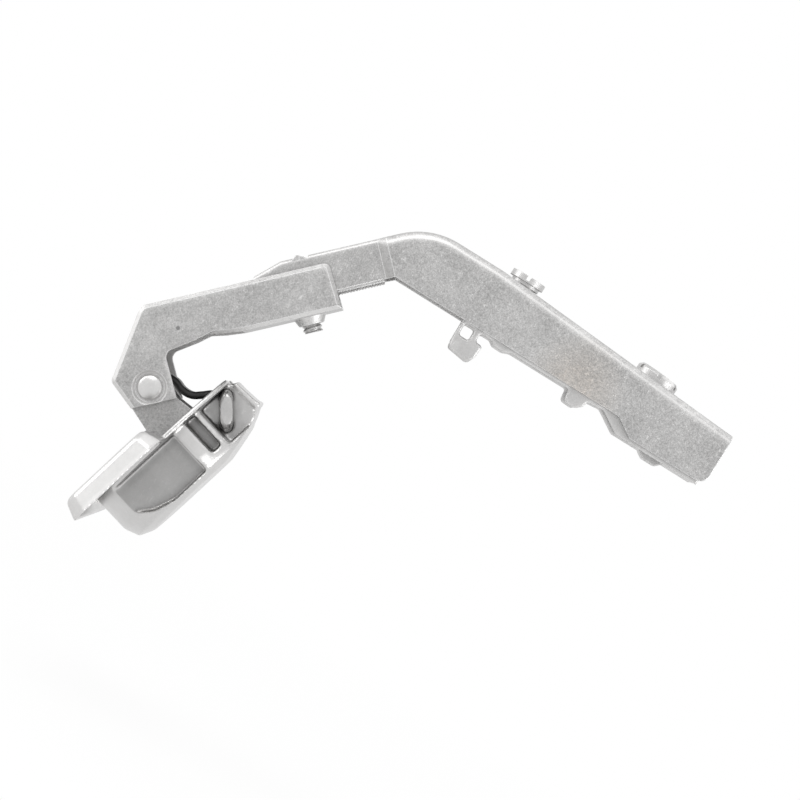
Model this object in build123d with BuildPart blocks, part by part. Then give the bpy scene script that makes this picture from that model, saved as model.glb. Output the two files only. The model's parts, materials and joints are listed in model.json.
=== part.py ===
# Clip-on hinge for an angled cabinet door, shown fully open.
# x runs along the cabinet side to the rear, z away from it and y along the hinge axis.
# The origin is the front hook's notch, on the plane where the channel sits on its plate.

import os
from math import atan2, cos, degrees, radians, sin, sqrt, tan
from build123d import *

os.makedirs("parts", exist_ok=True)

# Sheet thicknesses and clearances
arm_sheet = 1.5
clip_sheet = 1.2
cup_sheet = 0.95
link_sheet = 1.2
turn_gap = 0.05
slide_gap = 0.2
face_gap = 0.15
beyond = 3.0

# Where the arm bends, and how far the door stands open
bend_angle = 45.0
bend_x, bend_z = -19.4, 3.2
door_open = 120.0
cup_along, cup_up = -49.6, -19.1

# Main arm
arm_half = 9.7
arm_rear = 50.3
web_top = 14.9
drop_start = -2.5
drop_angle = 3.87
bend_round = 14.7
arm_edge_round = 2.0
rear_floor = 0.7
rear_corner_round = 2.0
step_rear, step_mid, step_front = 33.9, 30.2, 28.5
step_mid_rise = 2.35
wing_half = 7.5
wing_height = 7.7
wing_tip = -25.9
wing_slope_start, wing_slope_low = -20.3, 6.0
wing_edge_round = 0.85
joggle_length = 1.7
peak_at, peak_rise, peak_base = -17.1, 0.55, 1.2
notch_at, notch_depth, notch_half = -15.4, 0.45, 1.1
dimple_sink = 0.9

# Depth lock screw, its slot in the arm and its nut in the channel
lock_x = 2.2
lock_shank_r = 2.3
lock_slot_gap = 0.3
lock_groove_r, lock_groove_height = 2.9, 0.7
lock_head_r, lock_head_top = 3.5, 16.9
driver_slot, driver_depth = 0.8, 0.9
nut_below = 1.0
nut_barrel_r, nut_gap = 3.6, 0.3

# Depth cam
cam_x = 32.8
cam_head_r, cam_head_height = 4.4, 2.0
cam_shank_r = 2.5
cam_disc_r, cam_disc_height = 3.4, 0.8
cam_throw, cam_turn = 2.2, 40.0
cam_peg_r, cam_peg_gap = 1.25, 0.25
cam_recess_r, cam_recess_depth = 1.6, 1.0
cam_edge = 0.6
cam_notches, cam_notch_wide, cam_notch_in, cam_notch_down = 6, 0.8, 0.45, 1.2
cam_peg_reach = 4.5

# Overlay screw and the drawn boss that it turns in
overlay_at = -17.4
overlay_head_r, overlay_head_height = 3.0, 1.4
overlay_neck_r = 1.5
overlay_collar_r, overlay_collar_height = 2.7, 0.85
overlay_shank_r, overlay_tip = 1.85, -6.5
dimple_wall = 0.9
thread_gap = 0.08
cross_slot, cross_depth = 3.6, 0.85

# Front arm, outline along and across its own bar
bar_top, bar_floor = 5.45, -3.5
bar_end, bar_end_lean = -11.0, 0.5
bar_corner_round = 1.2
floor_web_start = -30.2
belly = ((-33.8, -3.15), (-36.9, -2.6), (-39.6, -3.25))
hook_inner = (-45.3, -4.1)
hook_low = (-45.0, -13.0)
nose_low = (-53.8, -12.95)
nose_side = (-56.3, -7.1)
nose_top_along = -47.68
nose_round, hook_round, side_round = 2.4, 1.6, 1.2
bar_edge = 0.7
window_start = -25.9
boss_r, boss_tip_r, boss_drop = 3.5, 2.4, 1.5

# Pivots, along and across the front arm
rivet_at = (-49.45, -9.9)
heel_at = (-50.2, -6.1)
rivet_r = 1.5
dome_r, dome_height, dome_turn = 2.4, 0.9, 52
dish_r, dish_depth, dish_slope = 3.3, 0.5, 45
seat_r = 3.2
rivet_tail_r, rivet_tail = 1.95, 0.9
heel_r = 0.85
lug_r, lug_in, lug_sheet = 1.7, 3.5, 1.0

# Pivots in the cup, along the cup face and out from it
shallow_in, shallow_down = 3.35, 2.95
deep_in, deep_down = 7.2, 7.1
cup_pin_r = 1.2
cup_pin_flat = 0.25
cup_pin_edge = 0.5
cup_pin_tail = 0.6

# Links
link_half = 5.85
link_rivet_eye, link_crown, link_deep_eye = 3.1, 2.7, 2.1
link_left_top, link_left, link_low_left = (-0.56, 7.43), (-1.5, 2.0), (-1.8, -2.2)
link_turn, link_low = (-8.7, -0.3), (-4.7, -1.9)
link_waist_low, link_waist, link_waist_top = (-2.7, 4.7), (-2.9, 7.5), (-3.3, 10.1)
link_web_top, link_web_end = 2.3, 5.5
link_round = 3.0
strip_half, strip_sheet = 3.3, 1.45
strip_eye = 1.95
strip_bow = ((0.195, 0.57), (0.373, 1.53), (0.513, 1.04), (0.696, 0.04))
fork_half, fork_reach, fork_back = 2.05, 1.95, 1.7
fork_slot_half, fork_slot_shift, fork_slot_floor = 1.1, 0.0, -1.0

# Closing spring, a bent leaf below the front arm's web
leaf_share = 0.6
leaf_sheet, leaf_half = 0.8, 3.0
leaf_rear, leaf_front = -28.0, -44.0
leaf_bend, leaf_free = 1.3, -0.2

# Cup
cup_r = 17.5
cup_depth, cup_corner = 12.1, 4.0
corner_steps, inside_steps = 2, 1
tail_set = ((-12.0, -12.2), (-4.4, -10.5), (0.3, -8.5))
rim_drop, rim_wide, rim_end = 0.7, 1.7, 1.3
ear_half, ear_wide, ear_right, ear_corner = 31.0, 3.3, 0.9, 2.6
ear_rise, ear_slope, ear_edge = 2.2, 20, 0.6
seat_step = 0.05
ear_screw_set, ear_screw_half, ear_screw_r = 9.5, 22.5, 2.5
lip_in, lip_out, lip_top, lip_low, lip_half, lip_curl = 1.1, 0.1, -2.2, -8.7, 7.5, 0.45
window_path = ((-13.0, -7.5), (-10.2, -9.6), (-5.8, -10.9), (2.4, -10.9))
window_in = 6.0
valley_left, valley_right, valley_low, valley_in = 5.3, 7.6, -9.3, 5.7
pocket_in, pocket_low = 8.8, -10.1

# Clip channel
clip_top = 9.4
clip_front, clip_rear = -4.5, 49.2
hook_neck_low, hook_foot_left = (-4.3, -1.0), (-4.0, -2.6)
hook_foot_low, hook_foot_turn = (0.1, -3.2), (0.85, -2.9)
hook_toe_low, hook_toe_top = (1.36, -1.6), (1.46, 0.6)
hook_toe_in, hook_notch = (0.83, 0.9), (-0.13, 0.75)
hook_window = (-2.46, 1.6)
hook_window_size = (2.2, 2.5)
clip_edge = 2.75
bump = ((2.2, 2.75), (3.05, 2.06), (5.3, 2.0), (6.7, 2.6))
tab_round = 0.7
tab = ((19.4, 2.65), (19.75, 0.25), (22.2, 0.1), (23.45, 1.2), (23.7, 2.4))
ramp_top, ramp_low = 27.0, 31.45
clip_edge_round = 0.8

# Release lever, its pin and its spring
lever_pin_at = (44.0, 4.0)
lever_pin_r = 1.25
lever_half, lever_sheet = 3.2, 1.1
lever_toe = ((36.6, 0.4), (37.4, -0.4), (38.5, -1.1), (41.0, -1.1), (42.2, 0.1))
lever_foot = ((46.6, 0.1), (49.0, 0.1), (49.0, 0.9), (47.6, 1.3))
lever_head_r, lever_round = 2.6, 0.5
spring_sheet, spring_half = 0.4, 2.0
spring_foot, spring_bend, spring_tip = 34.7, 1.9, (39.2, 2.55)

# Sizes that follow from the ones above
cos_b, sin_b = cos(radians(bend_angle)), sin(radians(bend_angle))
drop = tan(radians(drop_angle))
cup_angle = door_open - bend_angle
lean = radians(cup_angle - bend_angle)
front_half = wing_half + slide_gap + arm_sheet
clip_half = arm_half - arm_sheet - slide_gap
link_inner = link_half - link_sheet
pocket_y = link_half + slide_gap + cup_sheet
seat_face = link_half + face_gap
lug_out = lug_in + lug_sheet
depth_travel = cam_throw * sin(radians(cam_turn))
lock_slot = 2 * (lock_shank_r + lock_slot_gap)
clip_web = clip_top - clip_sheet
wing_web = wing_height - arm_sheet
dimple_floor = wing_height - dimple_sink - overlay_head_height
peg_rise = cam_throw * (1 - cos(radians(cam_turn))) / 2
peg_y = cam_throw - peg_rise
shallow_at = (cup_r - shallow_in, -shallow_down)
deep_at = (cup_r - deep_in, -deep_down)
rim_low = -rim_drop - cup_sheet
seat = rim_low - seat_step
pocket_left = cup_r - pocket_in


def arm_point(along, up):
    return (bend_x + along * cos_b - up * sin_b, bend_z + along * sin_b + up * cos_b)


def from_cup(spot):
    along, out = spot
    return (cup_along + along * cos(lean) - out * sin(lean), cup_up + along * sin(lean) + out * cos(lean))


def to_cup(spot):
    along, up = spot[0] - cup_along, spot[1] - cup_up
    return (along * cos(lean) + up * sin(lean), up * cos(lean) - along * sin(lean))


def web_height(x):
    return web_top - (x - drop_start) * drop


# Working planes of the side view, the bent bar, its plan and its cross-section, and the open cup
side = Plane.XZ
bar = Plane(origin=(bend_x, 0, bend_z), x_dir=(cos_b, 0, sin_b), z_dir=(0, -1, 0))
cup_x, cup_z = arm_point(cup_along, cup_up)
cos_c, sin_c = cos(radians(cup_angle)), sin(radians(cup_angle))
cup_side = Plane(origin=(cup_x, 0, cup_z), x_dir=(cos_c, 0, sin_c), z_dir=(0, -1, 0))
cup_face = Plane(origin=(cup_x, 0, cup_z), x_dir=(cos_c, 0, sin_c), z_dir=(-sin_c, 0, cos_c))
cos_d, sin_d = cos(radians(drop_angle)), sin(radians(drop_angle))
cam_top = Plane(origin=(cam_x, 0, web_height(cam_x)), x_dir=(cos_d, 0, -sin_d), z_dir=(sin_d, 0, cos_d))
peg_x = cam_x - (web_height(cam_x) - clip_top + clip_sheet / 2) * drop
cam_side = Plane(origin=(cam_x, 0, web_height(cam_x)), x_dir=(cos_d, 0, -sin_d), z_dir=(0, -1, 0))


def bar_section(along):
    x, z = arm_point(along, 0)
    return Plane(origin=(x, 0, z), x_dir=(0, 1, 0), z_dir=(cos_b, 0, sin_b))


def bar_plan(up):
    x, z = arm_point(0, up)
    return Plane(origin=(x, 0, z), x_dir=(cos_b, 0, sin_b), z_dir=(-sin_b, 0, cos_b))


# Profile of the wide channel, with its skin taken off for the hollow
def channel_profile(skin, tail, low):
    top, wing = web_top - skin, wing_height - skin
    corner = (top - bend_z - wing * cos_b) / sin_b
    rear = arm_rear + tail
    rear_top = web_height(rear) - skin / cos_d
    if low:
        floor = [(rear, -low), arm_point(0, -low)]
    else:
        floor = [(rear, rear_floor), (step_rear, rear_floor), (step_mid, rear_floor + step_mid_rise),
                 (step_front, bend_z), arm_point(0, 0)]
    return [arm_point(0, wing), arm_point(corner, wing), (drop_start, top), (rear, rear_top)] + floor


def near(points, spot):
    return points.sort_by_distance((spot[0], spot[1], 0))[0]


# Main arm: the wide channel, the narrow wing and the joggle between them
with BuildPart() as wide_block:
    with BuildSketch(side) as wide_side:
        outline = channel_profile(0, 0, 0)
        with BuildLine():
            Polyline(*outline, close=True)
        make_face()
        fillet(near(wide_side.vertices(), outline[1]), bend_round)
        fillet(near(wide_side.vertices(), outline[4]), rear_corner_round)
    extrude(amount=arm_half, both=True)
    outer = wide_block.edges().filter_by(lambda e: abs(e.center().Y) > arm_half - turn_gap)
    fillet(outer.filter_by(lambda e: e.center().Z > bend_z + wing_web * cos_b), arm_edge_round)

with BuildPart() as wing_block:
    with BuildSketch(bar):
        with BuildLine():
            Polyline((-joggle_length, 0), (-joggle_length, wing_height), (wing_slope_start, wing_height),
                     (wing_tip, wing_slope_low), (wing_tip, 0), close=True)
        make_face()
    extrude(amount=wing_half, both=True)
    outer = wing_block.edges().filter_by(lambda e: abs(e.center().Y) > wing_half - turn_gap)
    fillet(outer.filter_by(lambda e: bar.to_local_coords(e.center()).Y > wing_slope_low), wing_edge_round)

with BuildPart() as main_arm:
    add(wide_block.part)
    add(wing_block.part)
    for along, half, rounding in ((-joggle_length, wing_half, wing_edge_round), (0, arm_half, arm_edge_round)):
        with BuildSketch(bar_section(along)) as section:
            Rectangle(2 * half, wing_height, align=(Align.CENTER, Align.MIN))
            fillet(section.vertices().group_by(Axis.Y)[-1], rounding)
    loft()
    # The hollow under the web
    with BuildSketch(side) as wide_hollow:
        outline = channel_profile(arm_sheet, beyond, beyond)
        with BuildLine():
            Polyline(*outline, close=True)
        make_face()
        fillet(near(wide_hollow.vertices(), outline[1]), bend_round - arm_sheet)
    extrude(amount=arm_half - arm_sheet, both=True, mode=Mode.SUBTRACT)
    for along, half in ((-joggle_length, wing_half), (0, arm_half)):
        with BuildSketch(bar_section(along)):
            with Locations((0, -beyond)):
                Rectangle(2 * (half - arm_sheet), wing_web + beyond, align=(Align.CENTER, Align.MIN))
    loft(mode=Mode.SUBTRACT)
    with BuildSketch(bar):
        with Locations((-joggle_length, -beyond)):
            Rectangle(beyond - joggle_length - wing_tip, wing_web + beyond, align=(Align.MAX, Align.MIN))
    extrude(amount=wing_half - arm_sheet, both=True, mode=Mode.SUBTRACT)
    # The sloped end of the wing's web keeps its thickness
    with BuildSketch(bar):
        with BuildLine():
            Polyline((wing_slope_start, wing_height), (wing_slope_start, wing_web),
                     (wing_tip, wing_slope_low - arm_sheet),
                     (wing_tip, wing_slope_low), close=True)
        make_face()
    extrude(amount=wing_half - arm_sheet, both=True)
    # Drawn dimple and neck hole for the overlay screw
    with BuildSketch(bar_plan(dimple_floor - dimple_wall)):
        with Locations((overlay_at, 0)):
            Circle(overlay_head_r + slide_gap + dimple_wall)
    extrude(amount=wing_web - dimple_floor + dimple_wall)
    with BuildSketch(bar_plan(dimple_floor)):
        with Locations((overlay_at, 0)):
            Circle(overlay_head_r + slide_gap)
    extrude(amount=wing_height, mode=Mode.SUBTRACT)
    with BuildSketch(bar_plan(0)):
        with Locations((overlay_at, 0)):
            Circle(overlay_neck_r + turn_gap)
    extrude(amount=wing_height, mode=Mode.SUBTRACT)
    # The peak and notch beside the dimple
    with BuildSketch(bar):
        with BuildLine():
            Polyline((notch_at - notch_half, wing_height + peak_rise), (notch_at, wing_height - notch_depth),
                     (notch_at + notch_half, wing_height + peak_rise), close=True)
        make_face()
    extrude(amount=wing_half, both=True, mode=Mode.SUBTRACT)
    for side_of in (1, -1):
        with BuildSketch(bar.offset(side_of * (wing_half - arm_sheet))):
            with BuildLine():
                Polyline((peak_at - peak_base, wing_web),
                         (peak_at - peak_base, wing_height - wing_edge_round / 2),
                         (peak_at, wing_height + peak_rise), (notch_at, wing_height - notch_depth),
                         (notch_at, wing_web), close=True)
            make_face()
        extrude(amount=side_of * (arm_sheet - turn_gap))
    # Slot for the lock screw and bore for the cam
    with BuildSketch(Plane.XY.offset(clip_top)):
        with Locations((lock_x, 0)):
            SlotOverall(lock_slot + 2 * depth_travel + 2 * lock_slot_gap, lock_slot)
    extrude(amount=web_top, mode=Mode.SUBTRACT)
    with BuildSketch(cam_top):
        Circle(cam_shank_r + turn_gap)
    extrude(amount=arm_sheet + turn_gap, both=True, mode=Mode.SUBTRACT)

overlay_x, overlay_z = arm_point(overlay_at, 0)
overlay_side = Plane(origin=(overlay_x, 0, overlay_z), x_dir=(cos_b, 0, sin_b), z_dir=(0, -1, 0))

# Front arm: a hooked channel whose web turns from its top to its floor
web_run = sqrt((nose_top_along - nose_side[0]) ** 2 + (bar_top - nose_side[1]) ** 2)
web_dir = ((nose_top_along - nose_side[0]) / web_run, (bar_top - nose_side[1]) / web_run)
web_in = (web_dir[1], -web_dir[0])
heel_gap = (heel_at[0] - nose_side[0]) * web_in[0] + (heel_at[1] - nose_side[1]) * web_in[1]
heel_rise = (heel_at[0] - nose_side[0]) * web_dir[0] + (heel_at[1] - nose_side[1]) * web_dir[1]


def from_heel(inward, along):
    return (heel_at[0] + web_in[0] * inward + web_dir[0] * along,
            heel_at[1] + web_in[1] * inward + web_dir[1] * along)


with BuildPart() as front_arm:
    with BuildSketch(bar) as bar_side:
        end_top = (bar_end - bar_end_lean, bar_top)
        nose_top = (nose_top_along, bar_top)
        with BuildLine():
            Polyline((bar_end, bar_floor), end_top, nose_top, nose_side, nose_low, hook_low, hook_inner,
                     *reversed(belly), (floor_web_start, bar_floor), close=True)
        make_face()
        for corner, rounding in ((end_top, bar_corner_round), (nose_top, nose_round),
                                 (nose_side, side_round), (hook_inner, hook_round)):
            fillet(near(bar_side.vertices(), corner), rounding)
    extrude(amount=front_half, both=True)
    outer = front_arm.edges().filter_by(lambda e: abs(e.center().Y) > front_half - turn_gap)
    spots = [(e, bar.to_local_coords(e.center())) for e in outer]
    folded = [e for e, spot in spots if spot.Y > hook_inner[1] and spot.X < bar_end - bar_end_lean and
              (spot.Y > 0 or spot.X < nose_low[0] + side_round) or
              (abs(spot.Y - bar_floor) < turn_gap and spot.X > floor_web_start)]
    chamfer(folded, bar_edge)
    with BuildSketch(bar):
        add(bar_side.sketch_local)
        offset(amount=-arm_sheet, kind=Kind.INTERSECTION, mode=Mode.REPLACE)
        with Locations((window_start, bar_floor + arm_sheet)):
            Rectangle(bar_end + beyond - window_start, bar_top + beyond - bar_floor, align=Align.MIN)
        with BuildLine():
            Polyline((floor_web_start, 0), (floor_web_start, bar_floor - beyond),
                     (hook_low[0] + beyond, bar_floor - beyond), (hook_low[0] + beyond, hook_low[1] - beyond),
                     (nose_low[0] - beyond, hook_low[1] - beyond), nose_side,
                     from_heel(arm_sheet - heel_gap, (nose_side[1] - heel_at[1])),
                     (hook_inner[0] - arm_sheet, 0),
                     close=True)
        make_face()
    extrude(amount=front_half - arm_sheet, both=True, mode=Mode.SUBTRACT)
    # Lugs that hold the heel pin, on a tongue narrower than the outer link
    for side_of in (1, -1):
        with BuildSketch(bar.offset(side_of * lug_out)):
            with BuildLine():
                Polyline(nose_low, (nose_side[0] - beyond, nose_low[1]),
                         from_heel(-heel_gap - beyond, lug_r * 2),
                         from_heel(face_gap - heel_gap + arm_sheet, lug_r * 2),
                         from_heel(face_gap - heel_gap + arm_sheet, -heel_rise), close=True)
            make_face()
        extrude(amount=side_of * (front_half - arm_sheet - lug_out), mode=Mode.SUBTRACT)
        with BuildSketch(bar.offset(side_of * lug_in)):
            with BuildLine():
                Polyline(from_heel(0, lug_r), from_heel(lug_r * 2 / 3, lug_r), from_heel(lug_r, lug_r / 2),
                         from_heel(lug_r, -lug_r / 2), from_heel(lug_r * 2 / 3, -lug_r),
                         from_heel(0, -lug_r), from_heel(arm_sheet / 2 - heel_gap, -lug_r),
                         from_heel(arm_sheet / 2 - heel_gap, lug_r), close=True)
            make_face()
        extrude(amount=side_of * lug_sheet)
        # Rivet seats, dished outside and raised inside
        with BuildSketch(bar.offset(side_of * seat_face)):
            with Locations(rivet_at):
                Circle(seat_r)
        extrude(amount=side_of * (front_half - arm_sheet - seat_face + dish_depth / 2))
        with BuildSketch(bar.offset(side_of * front_half)):
            with Locations(rivet_at):
                Circle(dish_r)
        extrude(amount=-side_of * dish_depth, taper=dish_slope, mode=Mode.SUBTRACT)
    for spot, hole_r, reach_y in ((rivet_at, rivet_r, front_half), (heel_at, heel_r, lug_out)):
        with BuildSketch(bar):
            with Locations(spot):
                Circle(hole_r)
        extrude(amount=reach_y, both=True, mode=Mode.SUBTRACT)
    # Drawn and threaded boss below the floor web
    with BuildSketch(overlay_side):
        with BuildLine():
            Polyline((0, bar_floor + arm_sheet / 2), (boss_r, bar_floor + arm_sheet / 2),
                     (boss_tip_r, bar_floor - boss_drop), (0, bar_floor - boss_drop), close=True)
        make_face()
    revolve(axis=Axis(overlay_side.origin, overlay_side.y_dir))
    with BuildSketch(bar_plan(bar_floor + arm_sheet)):
        with Locations((overlay_at, 0)):
            Circle(overlay_shank_r + thread_gap)
    extrude(amount=-boss_drop - arm_sheet - beyond, mode=Mode.SUBTRACT)


# Turned pieces are a half profile about an upright line
def turned(plane, points, direction):
    with BuildPart() as piece:
        with BuildSketch(plane):
            with BuildLine():
                Polyline(*points, close=True)
            make_face()
        revolve(axis=Axis((plane.origin.X, plane.origin.Y, plane.origin.Z), direction))
    return piece.part


# Overlay screw, held by its head above the dimple and its collar below
collar_top = dimple_floor - dimple_wall - turn_gap
collar_low = collar_top - overlay_collar_height
screw_points = [(0, overlay_tip), (overlay_shank_r, overlay_tip), (overlay_shank_r, collar_low),
                (overlay_collar_r, collar_low), (overlay_collar_r, collar_top), (overlay_neck_r, collar_top),
                (overlay_neck_r, dimple_floor + turn_gap), (overlay_head_r, dimple_floor + turn_gap),
                (overlay_head_r, dimple_floor + overlay_head_height), (0, dimple_floor + overlay_head_height)]
with BuildPart() as overlay_screw:
    add(turned(overlay_side, screw_points, (-sin_b, 0, cos_b)))
    with BuildSketch(bar_plan(dimple_floor + overlay_head_height)):
        with Locations((overlay_at, 0)):
            Rectangle(driver_slot, cross_slot)
            Rectangle(cross_slot, driver_slot)
    extrude(amount=-cross_depth, mode=Mode.SUBTRACT)

# Rivets that carry the outer link, and the heel pin of the inner link
rivet_x, rivet_z = arm_point(*rivet_at)
dish_face = front_half - dish_depth
dome_line = [(dome_r * cos(radians(turn)), dish_face + dome_height * sin(radians(turn)))
             for turn in (0, dome_turn)]
rivet_line = [(0, link_inner - turn_gap - rivet_tail), (rivet_tail_r, link_inner - turn_gap - rivet_tail),
              (rivet_tail_r, link_inner - turn_gap), (rivet_r, link_inner - turn_gap), (rivet_r, dish_face)]
rivet_line += dome_line + [(0, dome_line[-1][1])]
rivet_near = BuildPart()
with rivet_near:
    add(turned(Plane((rivet_x, 0, rivet_z), x_dir=(1, 0, 0), z_dir=(0, 0, 1)),
               [(r, -y) for r, y in rivet_line], (0, 1, 0)))
rivet_far = BuildPart()
with rivet_far:
    mirror(rivet_near.part, about=Plane.XZ, mode=Mode.ADD)

with BuildPart() as inner_link_pin:
    with BuildSketch(bar):
        with Locations(heel_at):
            Circle(heel_r)
    extrude(amount=lug_out, both=True)

# Outer link: two plates joined by a web that stays inside the cup
link_rivet = to_cup(rivet_at)


def by_deep(spot):
    return (deep_at[0] + spot[0], deep_at[1] + spot[1])


with BuildPart() as outer_link:
    with BuildSketch(cup_side) as link_side:
        with BuildLine():
            Polyline(link_left_top, link_left, link_low_left, by_deep(link_turn), by_deep(link_low),
                     (deep_at[0], deep_at[1] - link_deep_eye), (deep_at[0] + link_deep_eye, deep_at[1]),
                     by_deep(link_waist_low), by_deep(link_waist), by_deep(link_waist_top),
                     (link_rivet[0] + link_rivet_eye, link_rivet[1]),
                     (link_rivet[0], link_rivet[1] + link_crown),
                     close=True)
        make_face()
        for corner, rounding in ((link_low_left, link_round), (by_deep(link_turn), link_round),
                                 (by_deep(link_waist_low), link_round)):
            fillet(near(link_side.vertices(), corner), rounding)
        with Locations(link_rivet):
            Circle(link_rivet_eye)
        with Locations(deep_at):
            Circle(link_deep_eye)
    extrude(amount=link_half, both=True)
    with BuildSketch(cup_side):
        add(link_side.sketch_local)
        offset(amount=-link_sheet, kind=Kind.INTERSECTION, mode=Mode.REPLACE)
        with Locations((link_left_top[0] - beyond, link_web_top)):
            Rectangle(cup_r + beyond, cup_r, align=Align.MIN)
        with Locations((link_web_end, -cup_depth)):
            Rectangle(cup_r, cup_r, align=Align.MIN)
    extrude(amount=link_inner, both=True, mode=Mode.SUBTRACT)
    with BuildSketch(cup_side):
        with Locations(link_rivet):
            Circle(rivet_r + turn_gap)
        with Locations(deep_at):
            Circle(cup_pin_r + turn_gap)
    extrude(amount=link_half, both=True, mode=Mode.SUBTRACT)

# Inner link: one curved strip with an eye in the cup and an open fork on the heel pin
shallow = from_cup(shallow_at)
reach = sqrt((heel_at[0] - shallow[0]) ** 2 + (heel_at[1] - shallow[1]) ** 2)
ray = ((heel_at[0] - shallow[0]) / reach, (heel_at[1] - shallow[1]) / reach)


def on_fork(outward, across):
    return (heel_at[0] + ray[0] * outward - ray[1] * across, heel_at[1] + ray[1] * outward + ray[0] * across)


with BuildPart() as inner_link:
    with BuildSketch(bar):
        with BuildLine() as strip_line:
            rise, crest, fall, foot = [on_fork((share - 1) * reach, up) for share, up in strip_bow]
            ThreePointArc((shallow[0] - strip_eye / 2, shallow[1] + strip_eye / 2 - strip_sheet / 2), rise,
                          crest)
            ThreePointArc(crest, fall, foot)
            Line(foot, on_fork(-fork_back, 0))
        trace(lines=strip_line.line, line_width=strip_sheet)
        with Locations(shallow):
            Circle(strip_eye)
        with BuildLine():
            Polyline(on_fork(-fork_back - fork_half / 2, strip_sheet / 2), on_fork(-fork_back / 2, fork_half),
                     on_fork(fork_reach, fork_half), on_fork(fork_reach, -fork_half),
                     on_fork(-fork_back / 2, -fork_half),
                     on_fork(-fork_back - fork_half / 2, -strip_sheet / 2),
                     close=True)
        make_face()
    extrude(amount=strip_half, both=True)
    with BuildSketch(bar):
        with Locations(shallow):
            Circle(cup_pin_r + turn_gap)
        with BuildLine():
            Polyline(on_fork(fork_slot_floor, fork_slot_shift + fork_slot_half),
                     on_fork(beyond, fork_slot_shift + fork_slot_half),
                     on_fork(beyond, fork_slot_shift - fork_slot_half),
                     on_fork(fork_slot_floor, fork_slot_shift - fork_slot_half), close=True)
        make_face()
    extrude(amount=strip_half, both=True, mode=Mode.SUBTRACT)

# Closing spring
with BuildPart() as closing_spring:
    leaf_up = bar_top - arm_sheet - leaf_sheet / 2
    leaf_turn = leaf_rear - leaf_bend
    with BuildSketch(bar):
        with BuildLine() as leaf_line:
            Line((leaf_turn - (leaf_turn - leaf_front) * leaf_share, leaf_up), (leaf_turn, leaf_up))
            RadiusArc((leaf_turn, leaf_up), (leaf_turn, leaf_up - 2 * leaf_bend), leaf_bend)
            Line((leaf_turn, leaf_up - 2 * leaf_bend), (leaf_front, leaf_free))
        trace(lines=leaf_line.line, line_width=leaf_sheet)
    extrude(amount=leaf_half, both=True)


# Cup, pressed from sheet: the outside form less the same form one skin smaller
def cup_form(skin):
    corner, low = cup_corner - skin, skin - cup_depth
    line = [(0, ear_rise + skin), (0, low)]
    steps = inside_steps if skin else corner_steps
    for step in range(steps + 1):
        slope = radians(90 * step / steps)
        line.append((cup_r - skin - corner * (1 - sin(slope)), low + corner * (1 - cos(slope))))
    line.append((cup_r - skin, ear_rise + skin))
    top = beyond + ear_rise if skin else rim_low
    with BuildPart() as form:
        add(turned(cup_side, line, cup_face.z_dir))
        with BuildSketch(cup_side):
            tail = [(cup_r + along - skin / 2, out + skin) for along, out in tail_set]
            with BuildLine():
                Polyline(*tail, (cup_r + beyond, tail[-1][1]), (cup_r + beyond, -cup_depth - beyond),
                         (tail[0][0], -cup_depth - beyond), close=True)
            make_face()
        extrude(amount=cup_r, both=True, mode=Mode.SUBTRACT)
        window = [(window_path[0][0], top), *window_path, (window_path[-1][0], top)]
        valley = [(valley_left, valley_low), (valley_right, valley_low), (valley_right, top),
                  (valley_left, top)]
        if skin:
            valley = [(window_path[-1][0], valley_low), (pocket_left, valley_low), (pocket_left, top),
                      (window_path[-1][0], top)]
        pocket = [(pocket_left, pocket_low), (cup_r + beyond, pocket_low), (cup_r + beyond, top),
                  (pocket_left, top)]
        for path, y in ((window, cup_r - window_in), (valley, cup_r - valley_in), (pocket, pocket_y)):
            for side_of in (1, -1):
                with BuildSketch(cup_side.offset(side_of * (y - skin))):
                    with BuildLine():
                        Polyline(*path, close=True)
                    make_face()
                    if skin:
                        offset(amount=skin, kind=Kind.INTERSECTION, mode=Mode.REPLACE)
                extrude(amount=side_of * cup_r, mode=Mode.SUBTRACT)
    return form.part


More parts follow.
